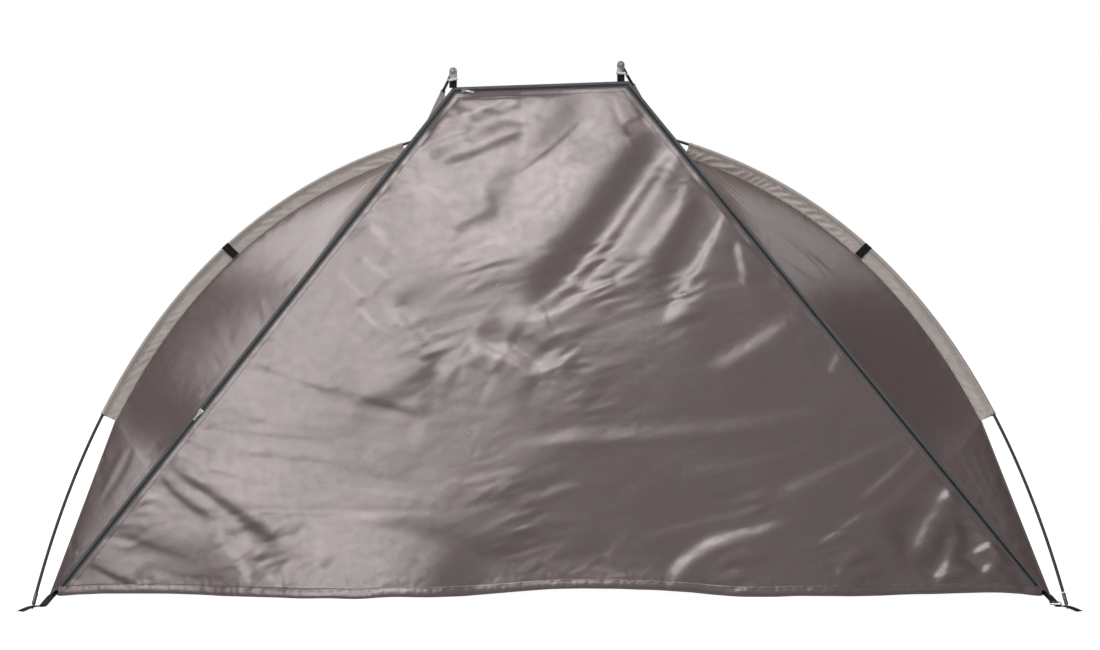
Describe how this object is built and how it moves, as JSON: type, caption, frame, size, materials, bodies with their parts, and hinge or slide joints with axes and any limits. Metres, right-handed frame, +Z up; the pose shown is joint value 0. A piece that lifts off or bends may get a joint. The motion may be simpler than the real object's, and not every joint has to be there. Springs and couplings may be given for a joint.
{
  "type": "beach tent",
  "caption": "Low beach tent with a leaning zip-up door, an arched front pole, rear poles in fabric sleeves and a sewn-in groundsheet.",
  "frame": {"origin": "on the ground, on the tent's middle line, 0.55 m behind the hem of the door", "axes": "+X to the right of someone who faces the door, +Y from the door to the back, +Z up"},
  "size_m": [2.5985, 1.3802, 1.3627],
  "materials": {
    "taupe_polyester": "thin coated polyester, glossy, taupe",
    "pale_sleeve": "thin coated polyester, pale grey taupe",
    "groundsheet": "coated woven floor sheet, dark grey",
    "zip_tape": "grey coil zip on woven tape",
    "black_webbing": "black woven webbing",
    "fibre_rod": "dark glass-fibre rod, satin",
    "steel": "bright zinc-plated steel"
  },
  "bodies": {
    "tent": {"arch_pole": "fibre_rod", "groundsheet": "groundsheet", "hem_roll": "taupe_polyester", "left_arch_foot": "steel", "left_arch_sleeve": "pale_sleeve", "left_corner_strap": "black_webbing", "left_eyelet_plate": "steel", "left_front_strap": "black_webbing", "left_gusset": "taupe_polyester", "left_hook_tab": "black_webbing", "left_rear_foot": "steel", "left_rear_pole": "fibre_rod", "left_rear_sleeve": "pale_sleeve", "left_rear_strap": "black_webbing", "left_side_panel": "taupe_polyester", "left_strap_bar": "steel", "left_top_strap": "black_webbing", "left_top_tip": "steel", "right_arch_foot": "steel", "right_arch_sleeve": "pale_sleeve", "right_corner_strap": "black_webbing", "right_eyelet_plate": "steel", "right_front_strap": "black_webbing", "right_gusset": "taupe_polyester", "right_hook_tab": "black_webbing", "right_rear_foot": "steel", "right_rear_pole": "fibre_rod", "right_rear_sleeve": "pale_sleeve", "right_rear_strap": "black_webbing", "right_side_panel": "taupe_polyester", "right_strap_bar": "steel", "right_strap_ring": "steel", "right_top_strap": "black_webbing", "right_top_tip": "steel", "roof_panel": "taupe_polyester", "tent_zip_left": "zip_tape", "tent_zip_right": "zip_tape", "tent_zip_top": "zip_tape"},
    "door": {"door_panel": "taupe_polyester", "door_zip_left": "zip_tape", "door_zip_top": "zip_tape", "door_zip_right": "zip_tape"},
    "left_slider": {"left_slider": "steel", "left_pull_tab": "steel"},
    "top_slider": {"top_slider": "steel", "top_pull_tab": "steel"}
  },
  "joints": [
    {"name": "door_fold", "type": "hinge", "parent": "tent", "child": "door", "pos_m": [0, -0.55, 0.003], "axis": [1, 0, 0], "range_deg": [0, 103]},
    {"name": "left_slider_travel", "type": "slide", "parent": "door", "child": "left_slider", "axis": [0.6016, 0.2067, 0.7715], "range_m": [-0.51, 1.02]},
    {"name": "top_slider_travel", "type": "slide", "parent": "door", "child": "top_slider", "axis": [0.9993, 0.0096, 0.036], "range_m": [0, 0.38]}
  ]
}
